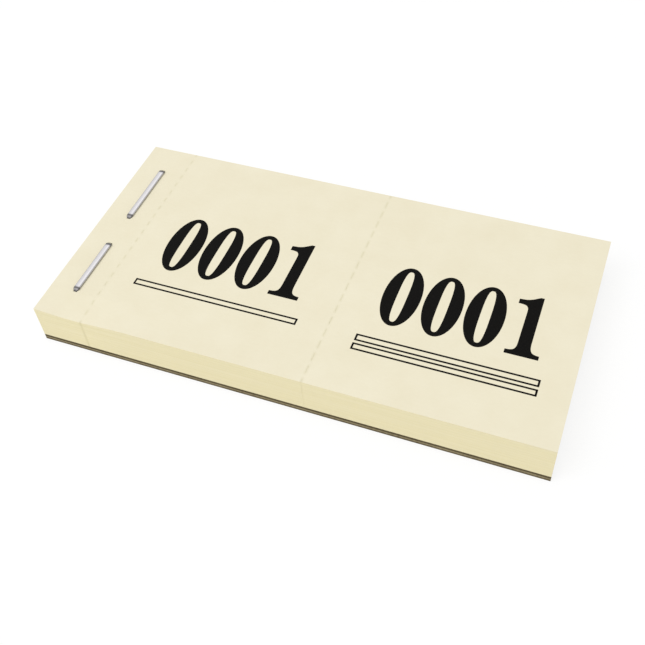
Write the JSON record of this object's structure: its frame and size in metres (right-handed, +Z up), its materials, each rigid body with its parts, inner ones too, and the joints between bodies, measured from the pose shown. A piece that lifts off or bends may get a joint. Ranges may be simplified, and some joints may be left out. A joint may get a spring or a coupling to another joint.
{
  "type": "cloakroom ticket book",
  "caption": "Flat pad of perforated numbered tickets on a greyboard backing, wire-stapled at the stub end, whose top leaves turn back, fold and tear off.",
  "frame": {"origin": "centre of the backing board's underside", "axes": "+X from the bound stub end towards the tickets' free end, +Y from the front edge to the back edge, +Z up out of the top leaf"},
  "size_m": [0.105, 0.053, 0.0099],
  "materials": {
    "ticket_paper": "uncoated matte",
    "greyboard": "raw recycled fibre",
    "staple_wire": "galvanised, bright"
  },
  "bodies": {
    "pad": {"backing_board": "greyboard", "rear_staple": "staple_wire", "front_staple": "staple_wire", "leaf_01_stub": "ticket_paper", "leaf_02_stub": "ticket_paper", "leaf_03_stub": "ticket_paper", "leaf_04_stub": "ticket_paper", "leaf_05_stub": "ticket_paper", "leaf_06_stub": "ticket_paper", "leaf_07_stub": "ticket_paper", "leaf_08_stub": "ticket_paper", "leaf_09_stub": "ticket_paper", "leaf_10_stub": "ticket_paper", "leaf_11_stub": "ticket_paper", "leaf_12_stub": "ticket_paper", "leaves_13_to_23": "ticket_paper", "leaves_24_to_34": "ticket_paper", "leaves_35_to_45": "ticket_paper", "leaves_46_to_56": "ticket_paper", "leaves_57_to_67": "ticket_paper", "leaves_68_to_78": "ticket_paper", "leaves_79_to_89": "ticket_paper", "leaves_90_to_100": "ticket_paper"},
    "top_stub_ties": {"leaf_01_stub_ties": "ticket_paper"},
    "top_inner_ticket": {"leaf_01_inner_ticket": "ticket_paper"},
    "top_centre_ties": {"leaf_01_centre_ties": "ticket_paper"},
    "top_outer_ticket": {"leaf_01_outer_ticket": "ticket_paper"},
    "leaf_02_tickets": {"leaf_02_inner_ticket": "ticket_paper", "leaf_02_outer_ticket": "ticket_paper"},
    "leaf_03_tickets": {"leaf_03_inner_ticket": "ticket_paper", "leaf_03_outer_ticket": "ticket_paper"},
    "leaf_04_tickets": {"leaf_04_inner_ticket": "ticket_paper", "leaf_04_outer_ticket": "ticket_paper"},
    "leaf_05_tickets": {"leaf_05_inner_ticket": "ticket_paper", "leaf_05_outer_ticket": "ticket_paper"},
    "leaf_06_tickets": {"leaf_06_inner_ticket": "ticket_paper", "leaf_06_outer_ticket": "ticket_paper"},
    "leaf_07_tickets": {"leaf_07_inner_ticket": "ticket_paper", "leaf_07_outer_ticket": "ticket_paper"},
    "leaf_08_tickets": {"leaf_08_inner_ticket": "ticket_paper", "leaf_08_outer_ticket": "ticket_paper"},
    "leaf_09_tickets": {"leaf_09_inner_ticket": "ticket_paper", "leaf_09_outer_ticket": "ticket_paper"},
    "leaf_10_tickets": {"leaf_10_inner_ticket": "ticket_paper", "leaf_10_outer_ticket": "ticket_paper"},
    "leaf_11_tickets": {"leaf_11_inner_ticket": "ticket_paper", "leaf_11_outer_ticket": "ticket_paper"},
    "leaf_12_tickets": {"leaf_12_inner_ticket": "ticket_paper", "leaf_12_outer_ticket": "ticket_paper"}
  },
  "joints": [
    {"name": "leaf_01_turn", "type": "hinge", "parent": "pad", "child": "top_stub_ties", "pos_m": [-0.042, 0, 0.0094], "axis": [0, -1, 0], "range_deg": [0, 165]},
    {"name": "leaf_01_inner_tear_off", "type": "slide", "parent": "top_stub_ties", "child": "top_inner_ticket", "axis": [1, 0, 0], "range_m": [0, 0.05]},
    {"name": "leaf_01_outer_tear_off", "type": "slide", "parent": "top_inner_ticket", "child": "top_centre_ties", "axis": [1, 0, 0], "range_m": [0, 0.05]},
    {"name": "leaf_01_fold", "type": "hinge", "parent": "top_centre_ties", "child": "top_outer_ticket", "pos_m": [0.0055, 0, 0.0094], "axis": [0, -1, 0], "range_deg": [0, 145]},
    {"name": "leaf_02_turn", "type": "hinge", "parent": "pad", "child": "leaf_02_tickets", "pos_m": [-0.042, 0, 0.0094], "axis": [0, -1, 0], "range_deg": [0, 151.8]},
    {"name": "leaf_03_turn", "type": "hinge", "parent": "pad", "child": "leaf_03_tickets", "pos_m": [-0.042, 0, 0.0094], "axis": [0, -1, 0], "range_deg": [0, 138.6]},
    {"name": "leaf_04_turn", "type": "hinge", "parent": "pad", "child": "leaf_04_tickets", "pos_m": [-0.042, 0, 0.0094], "axis": [0, -1, 0], "range_deg": [0, 125.4]},
    {"name": "leaf_05_turn", "type": "hinge", "parent": "pad", "child": "leaf_05_tickets", "pos_m": [-0.042, 0, 0.0094], "axis": [0, -1, 0], "range_deg": [0, 112.2]},
    {"name": "leaf_06_turn", "type": "hinge", "parent": "pad", "child": "leaf_06_tickets", "pos_m": [-0.042, 0, 0.0094], "axis": [0, -1, 0], "range_deg": [0, 99]},
    {"name": "leaf_07_turn", "type": "hinge", "parent": "pad", "child": "leaf_07_tickets", "pos_m": [-0.042, 0, 0.0094], "axis": [0, -1, 0], "range_deg": [0, 85.8]},
    {"name": "leaf_08_turn", "type": "hinge", "parent": "pad", "child": "leaf_08_tickets", "pos_m": [-0.042, 0, 0.0094], "axis": [0, -1, 0], "range_deg": [0, 72.6]},
    {"name": "leaf_09_turn", "type": "hinge", "parent": "pad", "child": "leaf_09_tickets", "pos_m": [-0.042, 0, 0.0094], "axis": [0, -1, 0], "range_deg": [0, 59.4]},
    {"name": "leaf_10_turn", "type": "hinge", "parent": "pad", "child": "leaf_10_tickets", "pos_m": [-0.042, 0, 0.0094], "axis": [0, -1, 0], "range_deg": [0, 46.2]},
    {"name": "leaf_11_turn", "type": "hinge", "parent": "pad", "child": "leaf_11_tickets", "pos_m": [-0.042, 0, 0.0094], "axis": [0, -1, 0], "range_deg": [0, 33]},
    {"name": "leaf_12_turn", "type": "hinge", "parent": "pad", "child": "leaf_12_tickets", "pos_m": [-0.042, 0, 0.0094], "axis": [0, -1, 0], "range_deg": [0, 19.8]}
  ],
  "couplings": [
    {"joint": "leaf_02_turn", "follows": "leaf_01_turn", "ratio": 0.92},
    {"joint": "leaf_03_turn", "follows": "leaf_01_turn", "ratio": 0.84},
    {"joint": "leaf_04_turn", "follows": "leaf_01_turn", "ratio": 0.76},
    {"joint": "leaf_05_turn", "follows": "leaf_01_turn", "ratio": 0.68},
    {"joint": "leaf_06_turn", "follows": "leaf_01_turn", "ratio": 0.6},
    {"joint": "leaf_07_turn", "follows": "leaf_01_turn", "ratio": 0.52},
    {"joint": "leaf_08_turn", "follows": "leaf_01_turn", "ratio": 0.44},
    {"joint": "leaf_09_turn", "follows": "leaf_01_turn", "ratio": 0.36},
    {"joint": "leaf_10_turn", "follows": "leaf_01_turn", "ratio": 0.28},
    {"joint": "leaf_11_turn", "follows": "leaf_01_turn", "ratio": 0.2},
    {"joint": "leaf_12_turn", "follows": "leaf_01_turn", "ratio": 0.12}
  ]
}
